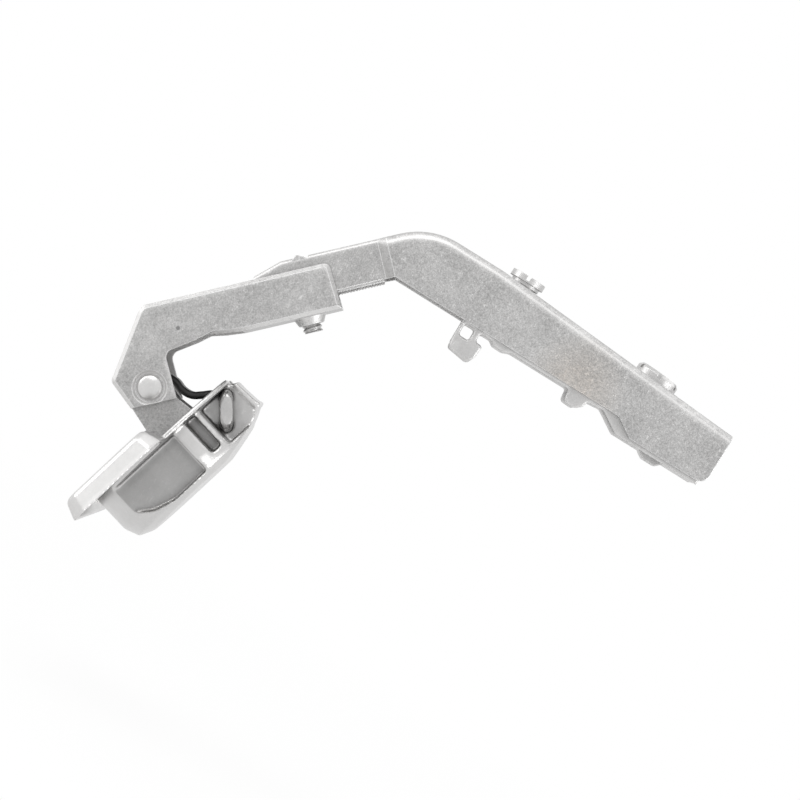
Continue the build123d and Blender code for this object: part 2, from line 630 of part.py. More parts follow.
with BuildPart() as cup:
    # The raised front flange with its two ears, its rim turned down to the seat
    ear_left = -cup_r - ear_wide
    ear_lean = tan(radians(ear_slope))
    with BuildSketch(cup_face.offset(seat)) as ear:
        with Locations(((ear_left + ear_right) / 2, 0)):
            Rectangle(ear_right - ear_left, 2 * ear_half)
        chamfer(ear.vertices(), ear_corner)
    extrude(amount=ear_rise - seat, taper=ear_slope)
    chamfer(cup.faces().sort_by(Axis(cup_face.origin, cup_face.z_dir))[-1].edges(), ear_edge)
    with BuildSketch(cup_face.offset(seat)):
        add(ear.sketch_local)
        offset(amount=-cup_sheet, kind=Kind.INTERSECTION, mode=Mode.REPLACE)
    extrude(amount=ear_rise - seat - cup_sheet, taper=ear_slope, mode=Mode.SUBTRACT)
    add(cup_form(0))
    with BuildSketch(cup_face.offset(rim_low)):
        Circle(cup_r + rim_wide)
        with Locations((ear_right - cup_sheet, 0)):
            Rectangle(2 * cup_r, 4 * cup_r, align=(Align.MAX, Align.CENTER), mode=Mode.SUBTRACT)
        with Locations((cup_r - rim_end, 0)):
            Rectangle(cup_r, 4 * cup_r, align=(Align.MIN, Align.CENTER), mode=Mode.SUBTRACT)
    extrude(amount=cup_sheet)
    with BuildSketch(cup_side):
        above = ear_rise + beyond
        with BuildLine():
            Polyline((ear_right - (-rim_drop - seat) * ear_lean, -rim_drop), (cup_r - rim_end, -rim_drop),
                     (cup_r - rim_end, lip_top), (2 * cup_r, lip_top), (2 * cup_r, above),
                     (ear_right - (above - seat) * ear_lean, above), close=True)
        make_face()
    extrude(amount=ear_half, both=True, mode=Mode.SUBTRACT)
    # The rolled lip at the link side
    with BuildSketch(cup_side):
        lip_left, lip_right = cup_r - lip_in, cup_r + lip_out
        with BuildLine():
            Polyline((lip_left, lip_top), (lip_right - lip_curl, lip_top),
                     (lip_right, lip_low + 2 * lip_curl),
                     (lip_right + lip_curl, lip_low + lip_curl), (lip_right, lip_low), (lip_left, lip_low),
                     close=True)
        make_face()
    extrude(amount=lip_half, both=True)
    add(cup_form(cup_sheet), mode=Mode.SUBTRACT)
    # The mouth, full round above the rim and between the recesses' ledges below it
    with BuildSketch(cup_face.offset(-rim_drop)):
        Circle(cup_r - cup_sheet)
    extrude(amount=beyond + ear_rise, mode=Mode.SUBTRACT)
    with BuildSketch(cup_face.offset(-rim_drop)):
        Circle(cup_r - cup_sheet)
        for side_of in (1, -1):
            for left, y in ((window_path[0][0], cup_r - window_in), (pocket_left, pocket_y)):
                with Locations((left - cup_sheet, side_of * (y - cup_sheet))):
                    Rectangle(2 * cup_r, cup_r, align=(Align.MIN, Align.MIN if side_of > 0 else Align.MAX),
                              mode=Mode.SUBTRACT)
    extrude(amount=-2 * cup_sheet, mode=Mode.SUBTRACT)
    with BuildSketch(cup_face):
        with Locations((-ear_screw_set, ear_screw_half), (-ear_screw_set, -ear_screw_half)):
            Circle(ear_screw_r)
    extrude(amount=ear_rise, mode=Mode.SUBTRACT)
    with BuildSketch(cup_side):
        with Locations(shallow_at, deep_at):
            Circle(cup_pin_r)
    extrude(amount=cup_r, both=True, mode=Mode.SUBTRACT)

# Cup pin: one wire bent into a staple, its flattened bridge on the near pocket's floor
with BuildPart() as cup_pin:
    bridge = sqrt((shallow_at[0] - deep_at[0]) ** 2 + (shallow_at[1] - deep_at[1]) ** 2)
    bridge_mid = ((shallow_at[0] + deep_at[0]) / 2, (shallow_at[1] + deep_at[1]) / 2)
    bridge_turn = degrees(atan2(shallow_at[1] - deep_at[1], shallow_at[0] - deep_at[0]))
    with BuildSketch(cup_side.offset(pocket_y)):
        with Locations(Location(bridge_mid, bridge_turn)):
            SlotCenterToCenter(bridge, 2 * cup_pin_r)
    extrude(amount=2 * cup_pin_r - cup_pin_flat)
    chamfer(cup_pin.faces().sort_by(Axis.Y)[0].edges(), cup_pin_edge)
    with BuildSketch(cup_side.offset(pocket_y)):
        with Locations(shallow_at, deep_at):
            Circle(cup_pin_r)
    extrude(amount=-2 * pocket_y - cup_pin_tail)

# Clip channel: hooks in front, a tab and a ramp below each wall
with BuildPart() as clip_channel:
    with BuildSketch(side) as clip_side:
        with BuildLine():
            Polyline((clip_rear, 0), (clip_rear, clip_top), (clip_front, clip_top), hook_neck_low,
                     hook_foot_left, hook_foot_low, hook_foot_turn, hook_toe_low, hook_toe_top, hook_toe_in, hook_notch,
                     (hook_notch[0], clip_edge), *bump, *tab, (ramp_top, clip_edge), (ramp_low, 0),
                     close=True)
        make_face()
        for corner in tab[1:3]:
            fillet(near(clip_side.vertices(), corner), tab_round)
        with Locations(hook_window):
            Rectangle(*hook_window_size, mode=Mode.SUBTRACT)
    extrude(amount=clip_half, both=True)
    top_edges = clip_channel.edges().filter_by(Axis.X).group_by(Axis.Z)[-1]
    fillet(top_edges, clip_edge_round)
    with BuildSketch(side):
        with Locations((clip_front - beyond, -2 * beyond)):
            Rectangle(clip_rear - clip_front + 2 * beyond, clip_web + 2 * beyond, align=Align.MIN)
    extrude(amount=clip_half - clip_sheet, both=True, mode=Mode.SUBTRACT)
    with BuildSketch(Plane.XY.offset(clip_web)):
        with Locations((lock_x, 0)):
            Circle(nut_barrel_r)
        with Locations((peg_x, peg_y)):
            Rectangle(2 * (cam_peg_r + cam_peg_gap), 2 * (cam_peg_r + cam_peg_gap) + 2 * peg_rise)
    extrude(amount=clip_sheet, mode=Mode.SUBTRACT)
    with BuildSketch(side):
        with Locations(lever_pin_at):
            Circle(lever_pin_r)
    extrude(amount=clip_half, both=True, mode=Mode.SUBTRACT)

# Nut for the lock screw, pressed into the channel's web
lock_side = Plane(origin=(lock_x, 0, 0), x_dir=(1, 0, 0), z_dir=(0, -1, 0))
nut_top = web_height(lock_x + nut_barrel_r + depth_travel) - arm_sheet - nut_gap
nut_hole = lock_shank_r + thread_gap
nut_low = clip_web - nut_below
with BuildPart() as depth_nut:
    add(turned(lock_side, [(nut_hole, nut_low), (nut_barrel_r, nut_low), (nut_barrel_r, nut_top),
                           (nut_hole, nut_top)], (0, 0, 1)))

# Depth lock screw, its shoulder on the arm's web
with BuildPart() as depth_lock_screw:
    shoulder = web_top + turn_gap
    head_low = shoulder + lock_groove_height
    add(turned(lock_side, [(0, nut_low), (lock_shank_r, nut_low),
                           (lock_shank_r, shoulder), (lock_groove_r, shoulder), (lock_groove_r, head_low),
                           (lock_head_r, head_low), (lock_head_r, lock_head_top),
                           (0, lock_head_top)], (0, 0, 1)))
    with BuildSketch(Plane.XY.offset(lock_head_top - driver_depth)):
        with Locations((lock_x, 0)):
            Rectangle(driver_slot, 2 * lock_head_r)
    extrude(amount=lock_head_top, mode=Mode.SUBTRACT)

# Depth cam: its peg stands in the channel's cross slot and pushes the arm to and fro
with BuildPart() as depth_cam:
    disc_top = -arm_sheet - turn_gap
    disc_low = disc_top - cam_disc_height
    add(turned(cam_side, [(0, disc_low), (cam_disc_r, disc_low), (cam_disc_r, disc_top), (cam_shank_r, disc_top),
                          (cam_shank_r, turn_gap), (cam_head_r, turn_gap), (cam_head_r, cam_head_height),
                          (0, cam_head_height)], (sin_d, 0, cos_d)))
    chamfer(depth_cam.faces().sort_by(Axis.Z)[-1].edges(), cam_edge)
    with BuildSketch(cam_top.offset(cam_head_height)):
        with PolarLocations(cam_head_r, cam_notches, start_angle=-90):
            Rectangle(2 * cam_notch_in, cam_notch_wide)
    extrude(amount=-cam_notch_down, mode=Mode.SUBTRACT)
    with BuildSketch(cam_top.offset(disc_low)):
        with Locations((0, cam_throw)):
            Circle(cam_peg_r)
    extrude(amount=-cam_peg_reach - disc_low)
    with BuildSketch(cam_top.offset(cam_head_height)):
        Rectangle(2 * cam_recess_r, driver_slot)
        Rectangle(driver_slot, 2 * cam_recess_r)
    extrude(amount=-cam_recess_depth, mode=Mode.SUBTRACT)

# Release lever with its toe and finger foot, on a pin across the channel
with BuildPart() as release_lever:
    with BuildSketch(side) as lever_side:
        with BuildLine():
            Polyline(*lever_toe, *lever_foot, (lever_pin_at[0] + lever_head_r, lever_pin_at[1]),
                     (lever_pin_at[0], lever_pin_at[1] + lever_head_r),
                     (lever_pin_at[0] - lever_head_r, lever_pin_at[1]),
                     close=True)
        make_face()
        fillet(near(lever_side.vertices(), lever_toe[2]), lever_round)
        with Locations(lever_pin_at):
            Circle(lever_head_r)
    extrude(amount=lever_half, both=True)
    with BuildSketch(side):
        with Locations((lever_toe[0][0] - beyond, lever_toe[-1][1] + lever_sheet)):
            Rectangle(lever_foot[1][0] - lever_toe[0][0] + 2 * beyond, 3 * lever_head_r, align=Align.MIN)
    extrude(amount=lever_half - lever_sheet, both=True, mode=Mode.SUBTRACT)
    with BuildSketch(side):
        with Locations(lever_pin_at):
            Circle(lever_pin_r + turn_gap)
    extrude(amount=lever_half, both=True, mode=Mode.SUBTRACT)

with BuildPart() as lever_pin:
    with BuildSketch(side):
        with Locations(lever_pin_at):
            Circle(lever_pin_r)
    extrude(amount=clip_half, both=True)

# Bent leaf that keeps the lever's toe out, between the channel's web and the lever's head
with BuildPart() as lever_spring:
    spring_top = clip_web - spring_sheet / 2
    with BuildSketch(side):
        with BuildLine() as spring_line:
            Polyline((spring_foot + 2 * spring_bend, spring_top), (spring_foot, spring_top),
                     (spring_foot, spring_top - spring_bend), spring_tip)
        trace(lines=spring_line.line, line_width=spring_sheet)
    extrude(amount=spring_half, both=True)

pieces = {
    "cup": cup, "cup_pin": cup_pin, "outer_link": outer_link, "inner_link": inner_link,
    "rivet_near": rivet_near, "rivet_far": rivet_far, "inner_link_pin": inner_link_pin,
    "closing_spring": closing_spring, "front_arm": front_arm, "overlay_screw": overlay_screw,
    "main_arm": main_arm, "depth_lock_screw": depth_lock_screw, "depth_nut": depth_nut,
    "depth_cam": depth_cam, "clip_channel": clip_channel, "release_lever": release_lever,
    "lever_pin": lever_pin, "lever_spring": lever_spring,
}
for name, piece in pieces.items():
    piece.part.label = name
    export_step(piece.part, "parts/" + name + ".step")
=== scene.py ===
import json
import math

import bmesh
import bpy
from mathutils import Matrix, Vector

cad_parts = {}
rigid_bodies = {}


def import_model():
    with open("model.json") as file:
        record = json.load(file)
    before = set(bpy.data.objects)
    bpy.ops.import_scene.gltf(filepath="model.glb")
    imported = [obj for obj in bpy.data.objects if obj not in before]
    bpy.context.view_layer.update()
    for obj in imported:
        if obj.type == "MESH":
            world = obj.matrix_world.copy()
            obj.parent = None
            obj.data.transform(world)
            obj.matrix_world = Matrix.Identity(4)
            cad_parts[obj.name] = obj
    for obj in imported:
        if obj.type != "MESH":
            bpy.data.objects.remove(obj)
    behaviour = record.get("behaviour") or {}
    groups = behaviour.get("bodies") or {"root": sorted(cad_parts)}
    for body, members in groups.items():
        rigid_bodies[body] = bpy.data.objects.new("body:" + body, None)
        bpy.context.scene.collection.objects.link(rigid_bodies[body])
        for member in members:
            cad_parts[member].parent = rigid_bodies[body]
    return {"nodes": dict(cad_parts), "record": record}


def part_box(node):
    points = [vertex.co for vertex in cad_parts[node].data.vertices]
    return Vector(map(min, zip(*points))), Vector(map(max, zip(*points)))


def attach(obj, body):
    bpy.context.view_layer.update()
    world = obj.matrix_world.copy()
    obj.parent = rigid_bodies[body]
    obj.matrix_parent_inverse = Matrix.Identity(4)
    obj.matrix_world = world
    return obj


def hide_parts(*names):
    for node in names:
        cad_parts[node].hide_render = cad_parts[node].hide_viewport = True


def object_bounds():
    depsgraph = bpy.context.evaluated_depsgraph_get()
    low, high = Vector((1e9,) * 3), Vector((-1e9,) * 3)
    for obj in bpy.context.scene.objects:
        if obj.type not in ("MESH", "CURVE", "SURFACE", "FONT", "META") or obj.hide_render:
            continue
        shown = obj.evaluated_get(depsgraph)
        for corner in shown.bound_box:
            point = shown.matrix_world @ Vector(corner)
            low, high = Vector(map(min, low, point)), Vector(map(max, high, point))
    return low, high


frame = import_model()
nodes = frame["nodes"]
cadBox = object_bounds()
bodyOf = {node: body for body, held in frame["record"]["behaviour"]["bodies"].items() for node in held}
slotOf = {entry["node"]: entry["material_slot"] for entry in frame["record"]["subparts"]}
mm = 0.001
creaseAngle = math.radians(38)  # turned and cut pieces keep a hard line at sharper edges
joinGap = 0.001 * mm  # points closer than this are one
print("frame loaded")


def feed(tree, place, value):  # a node's socket takes a link or a plain value
    if isinstance(value, Sock):
        tree.links.new(value.out, place)
    else:
        place.default_value = value


# Shader maths: expressions on sockets add their own nodes
class Sock:
    def __init__(self, tree, out):
        self.tree = tree
        self.out = out

    def maths(self, operation, *values):
        made = self.tree.nodes.new("ShaderNodeMath")
        made.operation = operation
        for place, value in enumerate(values):
            feed(self.tree, made.inputs[place], value)
        return Sock(self.tree, made.outputs[0])

    def __add__(self, other):
        return self.maths("ADD", self, other)

    def __radd__(self, other):
        return self.maths("ADD", other, self)

    def __sub__(self, other):
        return self.maths("SUBTRACT", self, other)

    def __rsub__(self, other):
        return self.maths("SUBTRACT", other, self)

    def __mul__(self, other):
        return self.maths("MULTIPLY", self, other)

    def __rmul__(self, other):
        return self.maths("MULTIPLY", other, self)

    def __truediv__(self, other):
        return self.maths("DIVIDE", self, other)

    def size(self):
        return self.maths("ABSOLUTE", self)

    def least(self, other):
        return self.maths("MINIMUM", self, other)

    def most(self, other):
        return self.maths("MAXIMUM", self, other)

    def held(self):  # kept between 0 and 1
        return self.least(1.0).most(0.0)

    def past(self, start, gain):  # rises from 0 to 1 after the start, or before it if the gain is negative
        return ((self - start) * gain).held()


class NodeMaker:  # every node but the maths comes from its one method
    def __init__(self, tree, family="ShaderNode"):
        self.tree = tree
        self.family = family

    def node(self, kind, settings=None, values=None, out=0):
        made = self.tree.nodes.new(self.family + kind)
        for key, value in (settings or {}).items():
            setattr(made, key, value)
        for key, value in (values or {}).items():
            feed(self.tree, made.inputs[key], value)
        return made if out is None else Sock(self.tree, made.outputs[out])


class Finish(NodeMaker):  # a material with a Principled shader
    def __init__(self, name):
        self.material = bpy.data.materials.new(name)
        self.material.use_nodes = True
        super().__init__(self.material.node_tree)
        self.tree.nodes.clear()
        self.shader = self.node("BsdfPrincipled", out=None)
        self.surface = Sock(self.tree, self.shader.outputs[0])
        self.outlet = self.node("OutputMaterial", values={0: self.surface}, out=None)

    def drive(self, values):
        for key, value in values.items():
            feed(self.tree, self.shader.inputs[key], value)


def grey(value, warmth=0.0):
    return (value * (1 + warmth), value, value * (1 - warmth), 1.0)


# Plated steel: blotches, fine mottle, short scratches, rubbed edges with a painted highlight, painted fold
# highlights
bendShare = 0.7071  # the bent end leans at 45 degrees, so this share of its length goes along each axis
foldsFace = ((0.0, 0.0, 1.0), (-bendShare, 0.0, bendShare))  # out of the base's web and the bent end's web
wearAndPaintedLight = {
    # Detail and roughness of each noise, and its mean
    "blotchNoise": (3.0, 0.6), "mottleNoise": (4.0, 0.7), "grainNoise": (2.0, 0.6),
    "scratchNoise": (1.0, 0.5), "noiseMean": 0.5,
    # Start and gain of what rises over a range
    "scratchPatch": (0.52, 14.0), "rampBelow": (0.96, -12.0), "rampAbove": (0.5, 12.0),
    "rampClear": (0.42, 6.0),
    "plainTone": 0.5, "scratchThin": 55.0, "edgeSamples": 4, "foldSamples": 8, "foldStart": 0.08,
    "foldGain": 6.0, "foldCurve": 5.0, "patchHold": 1.4, "nickDark": 0.8, "insideGain": -200.0,
    "shine": 0.97, "warmTint": (1.0, 0.93, 0.86, 1.0), "warmMottle": 1.2,
    "bumpMottle": 0.6, "bumpGrain": 0.4, "bumpScratch": 0.5,
}


def noise(f, place, size, texture):
    return f.node("TexNoise", values={"Vector": place, "Scale": 1 / size, "Detail": texture[0],
                                      "Roughness": texture[1]})


def axisOf(f, vector, axis):  # one component of a vector
    return f.node("SeparateXYZ", values={0: vector}, out=axis)


def measured(f, operation, *vectors):  # one number from vectors
    return f.node("VectorMath", settings={"operation": operation}, values=dict(enumerate(vectors)),
                  out="Value")


def blended(f, share, first, second, way="MIX"):
    return f.node("Mix", settings={"data_type": "RGBA", "blend_type": way},
                  values={0: share, 6: first, 7: second}, out=2)


def softPatch(f, place, centre, radius):  # full near its centre and gone a little past its radius
    return (wearAndPaintedLight["patchHold"] - measured(f, "DISTANCE", place, centre) / radius).held()


def highest(f, direction):  # how squarely it points out of the nearer web
    turned = [measured(f, "DOT_PRODUCT", direction, face) for face in foldsFace]
    return turned[0].most(turned[1])


def paintedFoldHighlight(f, look, flat):  # painted highlight where the web folds into the walls, on rounds facing out of a web
    wide = f.node("Bevel", settings={"samples": wearAndPaintedLight["foldSamples"]}, values={"Radius": look["foldWide"]})
    rounded = highest(f, wide).most(0.0)
    level = highest(f, flat).most(0.0)
    folded = ((rounded - level - wearAndPaintedLight["foldStart"]) * wearAndPaintedLight["foldGain"]).most(
        level * (1.0 - level) * wearAndPaintedLight["foldCurve"]).held()
    return folded * look["foldPaintedHighlight"]


def slantedLight(f, look, flat):  # slanted pressed faces, such as the joggle, catch more light
    lean = axisOf(f, flat, "Y").size()
    slanted = lean.past(*wearAndPaintedLight["rampBelow"]) * lean.past(*wearAndPaintedLight["rampAbove"])
    aside = 1.0 - highest(f, flat).past(*wearAndPaintedLight["rampClear"])
    return slanted * aside * look["rampLight"]


def platedSteel(name, look, paint=None):
    f = Finish(name)
    place = f.node("TexCoord", out="Object")
    blotch = noise(f, place, look["blotch"], wearAndPaintedLight["blotchNoise"])
    mottle = noise(f, place, look["mottle"], wearAndPaintedLight["mottleNoise"])
    grain = noise(f, place, look["grain"], wearAndPaintedLight["grainNoise"])
    mottled = mottle - wearAndPaintedLight["noiseMean"]
    grained = grain - wearAndPaintedLight["noiseMean"]
    tone = ((blotch - wearAndPaintedLight["noiseMean"]) * look["blotchDepth"] + mottled * look["mottleDepth"]
            + grained * look["grainDepth"])
    # Scratches are the thin crossings of a long stretched noise, kept only in patches
    drawn = f.node("Mapping", values={
        "Vector": place, "Rotation": look["scratchTurn"],
        "Scale": (1 / look["scratchWidth"], 1 / look["scratchWidth"], 1 / look["scratchLength"])})
    lines = noise(f, drawn, 1.0, wearAndPaintedLight["scratchNoise"])
    thin = (1.0 - (lines - wearAndPaintedLight["noiseMean"]).size() * wearAndPaintedLight["scratchThin"]).held()
    scratch = thin * mottle.past(*wearAndPaintedLight["scratchPatch"])
    # Edges are where the rounded direction leaves the flat one
    worn = f.node("Bevel", settings={"samples": wearAndPaintedLight["edgeSamples"]}, values={"Radius": look["edge"]})
    flat = f.node("NewGeometry", out="Normal")
    edges = ((1.0 - measured(f, "DOT_PRODUCT", worn, flat)) * look["rubGain"]).held()
    # edges lighter: partly rubbed wear, partly a painted highlight
    rubAndPaintedLight = edges * look["rub"]
    if "foldWide" in look:
        rubAndPaintedLight = rubAndPaintedLight + paintedFoldHighlight(f, look, flat)
    if "rampLight" in look:
        rubAndPaintedLight = rubAndPaintedLight + slantedLight(f, look, flat)
    if "nick" in look:
        rubAndPaintedLight = rubAndPaintedLight - softPatch(f, place, *look["nick"]) * wearAndPaintedLight["nickDark"]
    if "insidePaintedLight" in look:  # painted light on the walls where they face each other
        inward = axisOf(f, flat, "Y") * axisOf(f, place, "Y")
        rubAndPaintedLight = rubAndPaintedLight + (inward * wearAndPaintedLight["insideGain"]).held() * look["insidePaintedLight"]
    # a given paint adds its painted shade and highlight here
    if paint:
        rubAndPaintedLight = rubAndPaintedLight + paint(f, place)
    share = (wearAndPaintedLight["plainTone"] + tone + scratch * look["scratchDepth"] + rubAndPaintedLight).held()
    colour = blended(f, share, grey(look["dark"], look["warmth"]), grey(look["light"], look["warmth"]))
    if "edgeShine" in look:  # bare bright metal on the most rubbed edges, with a painted highlight
        colour = blended(f, edges * look["edgeShine"], colour, grey(wearAndPaintedLight["shine"]))
    if "warmPatch" in look:
        warm = softPatch(f, place, *look["warmPatch"]) * (mottle * wearAndPaintedLight["warmMottle"]).held()
        colour = blended(f, warm, colour, wearAndPaintedLight["warmTint"], way="MULTIPLY")
    rough = (look["rough"] + mottled * look["roughDepth"] + grained * look["roughDepth"]).held()
    height = mottle * wearAndPaintedLight["bumpMottle"] + grain * wearAndPaintedLight["bumpGrain"] - scratch * wearAndPaintedLight["bumpScratch"]
    bump = f.node("Bump", values={"Strength": look["bump"], "Distance": look["bumpHeight"], "Height": height,
                                  "Normal": worn})
    f.drive({"Base Color": colour, "Roughness": rough, "Metallic": look["metal"], "Normal": bump})
    return f.material


# The arm's zinc comes first, and the other steels say how they differ from it
armLook = {
    "dark": 0.24, "light": 0.68, "warmth": 0.008, "metal": 0.85, "rough": 0.46, "roughDepth": 0.3,
    "blotch": 9 * mm, "mottle": 0.8 * mm, "grain": 0.26 * mm,
    "blotchDepth": 0.6, "mottleDepth": 0.6, "grainDepth": 1.15,
    "scratchTurn": (0.0, 0.9, 0.0), "scratchWidth": 0.5 * mm, "scratchLength": 9 * mm, "scratchDepth": 0.3,
    "edge": 0.22 * mm, "rubGain": 24.0, "rub": 0.45, "bump": 0.7, "bumpHeight": 0.05 * mm,
}
# The fold and inside values paint light onto the arm, and edgeShine a highlight on its edges
armMarks = {
    "foldWide": 1.7 * mm, "foldPaintedHighlight": 0.24, "rampLight": 0.5, "insidePaintedLight": 0.7, "edgeShine": 0.6,
    "nick": ((-48.74 * mm, -9.2 * mm, -26.49 * mm), 0.35 * mm),  # where each lies, and its radius
    "warmPatch": ((19.9 * mm, -9.7 * mm, 3.8 * mm), 7.0 * mm),
}
clipLook = dict(armLook, dark=0.34, light=0.76, rough=0.42, mottleDepth=0.4, grainDepth=0.4, edge=0.45 * mm,
                bump=0.25)
linkLook = dict(armLook, dark=0.24, light=0.72, mottleDepth=0.7, grainDepth=1.3)
cupLook = dict(armLook, dark=0.22, light=0.95, metal=0.92, rough=0.32, roughDepth=0.12, blotchDepth=0.25,
               rub=0.15, mottleDepth=0.10, grainDepth=0.10, scratchDepth=0.1, edge=0.3 * mm, bump=0.10)
screwLook = dict(armLook, dark=0.40, light=0.70, rough=0.38, mottleDepth=0.3, grainDepth=0.3, edge=0.15 * mm,
                 bump=0.15)
domeLook = dict(armLook, dark=0.40, light=0.92, metal=0.95, rough=0.32, roughDepth=0.1, mottleDepth=0.2,
                grainDepth=0.1, edge=0.2 * mm, rub=0.1, bump=0.08)
wireLook = dict(domeLook, dark=0.30, light=0.72, rough=0.24, edge=0.1 * mm)
springLook = dict(armLook, dark=0.10, light=0.22, rough=0.40, grainDepth=0.25, bump=0.1)
stripLook = dict(armLook, dark=0.018, light=0.06, metal=0.6, rough=0.42, grainDepth=0.3, mottleDepth=0.3,
                 bump=0.15)

# Painted shade on the cup's recessed floors and in its creases, and a painted highlight on its ears
cupShadeAndHighlight = {
    "window": -0.25, "windowDeep": 11.5 * mm,  # each recess is known by how far out its floor lies
    "valley": -0.33, "valleyDeep": 11.8 * mm, "pocket": -0.16, "pocketDeep": 7.0 * mm,
    "band": 0.16 * mm, "bandHold": 1.6, "level": (0.90, 14.0),  # the last is a start and a gain
    "ear": 0.29, "earEdge": 0.08, "earFrom": 27.0 * mm, "earFade": 2.5 * mm,
    "crease": 0.45, "reach": 2.2 * mm, "creaseSamples": 8,
}


def paintCupShadeAndHighlight(f, place):
    out = axisOf(f, place, "Y").size()
    level = axisOf(f, f.node("NewGeometry", out="Normal"), "Y").size().past(*cupShadeAndHighlight["level"])

    def recess(name):
        apart = (out - cupShadeAndHighlight[name + "Deep"]).size() / cupShadeAndHighlight["band"]
        return (cupShadeAndHighlight["bandHold"] - apart).held() * cupShadeAndHighlight[name]

    # painted shade on the recessed floors
    recessShade = recess("window").least(recess("valley")).least(recess("pocket"))
    # painted highlight on the ears
    onEar = ((out - cupShadeAndHighlight["earFrom"]) / cupShadeAndHighlight["earFade"]).held()
    ear = onEar * (cupShadeAndHighlight["earEdge"] + level * cupShadeAndHighlight["ear"])
    # painted shade in the creases, from occlusion
    clear = f.node("AmbientOcclusion", settings={"samples": cupShadeAndHighlight["creaseSamples"]},
                   values={"Distance": cupShadeAndHighlight["reach"]}, out="AO")
    return level * recessShade + ear - (1.0 - clear) * cupShadeAndHighlight["crease"]


finishes = {
    "arm_steel": platedSteel("zincArm", {**armLook, **armMarks}),
    "clip_steel": platedSteel("clipPlate", clipLook),
    "link_steel": platedSteel("linkPlate", linkLook),
    "cup_steel": platedSteel("cupNickel", cupLook, paintCupShadeAndHighlight),
    "screw_steel": platedSteel("screwZinc", screwLook),
    "rivet_steel": platedSteel("rivetDome", domeLook),
    "pin_steel": platedSteel("drawnWire", wireLook),
    "spring_steel": platedSteel("springSteel", springLook),
    "dark_steel": platedSteel("oiledStrip", stripLook),
}
for name, node in nodes.items():
    for held in node.material_slots:
        held.material = finishes[slotOf[name]]
print("finishes set")


def setOut(name, data):  # an object of this mesh, curve, lamp or lens, put into the scene
    thing = bpy.data.objects.new(name, data)
    bpy.context.scene.collection.objects.link(thing)
    return thing


def addPiece(name, mesh, node, standsIn=True):  # rides and is finished as this CAD node is
    piece = setOut(name, mesh)
    mesh.materials.clear()
    mesh.materials.append(finishes[slotOf[node]])
    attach(piece, bodyOf[node])
    if standsIn:
        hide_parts(node)


def meshOf(name, shell):  # writes a bmesh out and lets it go
    mesh = bpy.data.meshes.new(name)
    shell.to_mesh(mesh)
    shell.free()
    return mesh


def evaluatedMesh(thing, name):  # a plain mesh in place of a helper object and its modifiers
    bpy.context.view_layer.update()
    made = bpy.data.meshes.new_from_object(thing.evaluated_get(bpy.context.evaluated_depsgraph_get()))
    made.name = name
    bpy.data.objects.remove(thing)
    return made


def smoothFaces(mesh):
    for face in mesh.polygons:
        face.use_smooth = True


# Drawn and pressed shells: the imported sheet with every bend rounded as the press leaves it
# Each round has a grid size and a number of smoothing passes
cupDraw = {"rounds": ((0.14 * mm, 20), (0.30 * mm, 8)), "weld": 0.002 * mm}
channelPress = {"rounds": ((0.24 * mm, 6),), "weld": 0.002 * mm}
smoothShare = 0.5  # how far one pass takes a point


def mergedCopy(nodeName, weld):
    node = nodes[nodeName]
    shell = bmesh.new()
    shell.from_mesh(node.data)
    bmesh.ops.transform(shell, matrix=node.matrix_world, verts=shell.verts)
    bmesh.ops.remove_doubles(shell, verts=shell.verts, dist=weld)
    return setOut(nodeName + "Copy", meshOf(nodeName + "Copy", shell))


def drawnShell(nodeName, name, draw):
    thing = mergedCopy(nodeName, draw["weld"])
    for grid, passes in draw["rounds"]:
        remesh = thing.modifiers.new("rounding", "REMESH")
        remesh.mode = "VOXEL"
        remesh.voxel_size = grid
        remesh.use_smooth_shade = True
        smooth = thing.modifiers.new("settling", "SMOOTH")
        smooth.factor = smoothShare
        smooth.iterations = passes
    return evaluatedMesh(thing, name)


cupMesh = drawnShell("cup", "drawnCup", cupDraw)
addPiece("drawnCup", cupMesh, "cup")
channelMesh = drawnShell("clip_channel", "pressedChannel", channelPress)
addPiece("pressedChannel", channelMesh, "clip_channel")
print("shells drawn", len(cupMesh.polygons), len(channelMesh.polygons))


# Turned pieces: a profile of radius and height spun about an axis
def turnedMesh(name, profile, base, axis, steps):
    axis = Vector(axis).normalized()
    side = axis.orthogonal().normalized()
    other = axis.cross(side)
    turns = [2 * math.pi * k / steps for k in range(steps)]
    shell = bmesh.new()
    rings = []
    for radius, height in profile:
        middle = Vector(base) + axis * height
        if radius == 0:
            rings.append([shell.verts.new(middle)])
        else:
            rings.append([shell.verts.new(middle + (side * math.cos(a) + other * math.sin(a)) * radius)
                          for a in turns])
    for first, second in zip(rings, rings[1:]):
        for k in range(steps):
            corners = [first[k % len(first)], first[(k + 1) % len(first)],
                       second[(k + 1) % len(second)], second[k % len(second)]]
            shell.faces.new(list(dict.fromkeys(corners)))
    bmesh.ops.remove_doubles(shell, verts=shell.verts, dist=joinGap)  # a tube's first and last ring
    bmesh.ops.recalc_face_normals(shell, faces=shell.faces)
    mesh = meshOf(name, shell)
    smoothFaces(mesh)
    mesh.set_sharp_from_angle(angle=creaseAngle)
    return mesh


# Riveted pivots: a round dome in the dish outside, a rounded tail inside
rivetHead = {
    "domeRadius": 2.42 * mm, "domeRise": 0.93 * mm, "domeSteps": 9, "brim": 0.2 * mm, "shank": 1.5 * mm,
    "tailRadius": 1.95 * mm, "tail": 0.9 * mm, "edge": 0.2 * mm, "dish": 8.7 * mm, "steps": 72,
}


